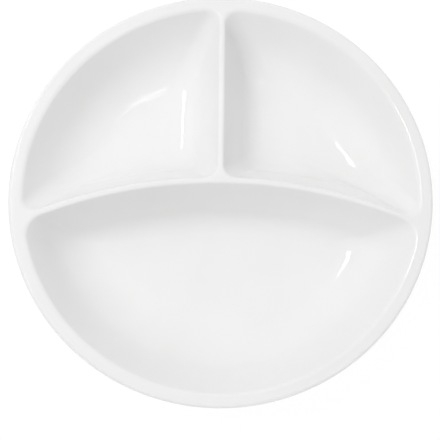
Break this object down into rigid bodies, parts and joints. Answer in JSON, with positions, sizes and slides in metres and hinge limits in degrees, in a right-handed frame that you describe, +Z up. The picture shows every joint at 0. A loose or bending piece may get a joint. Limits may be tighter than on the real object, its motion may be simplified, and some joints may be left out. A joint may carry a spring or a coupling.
{
  "type": "divided compartment plate",
  "caption": "Round glazed white dish with a thick rounded rim, divided by a straight and a curved rib into two small wells and one large well, on foot rings.",
  "frame": {"origin": "centre of the footprint, on the plane that the foot rings stand on", "axes": "+Z up out of the wells, +Y along the straight rib away from the large well, +X to the right of both"},
  "size_m": [0.255, 0.255, 0.036],
  "materials": {
    "bisque": "matt",
    "glaze": "gloss"
  },
  "bodies": {
    "root": {"ceramic_body": "bisque", "glaze": "glaze"}
  },
  "joints": []
}
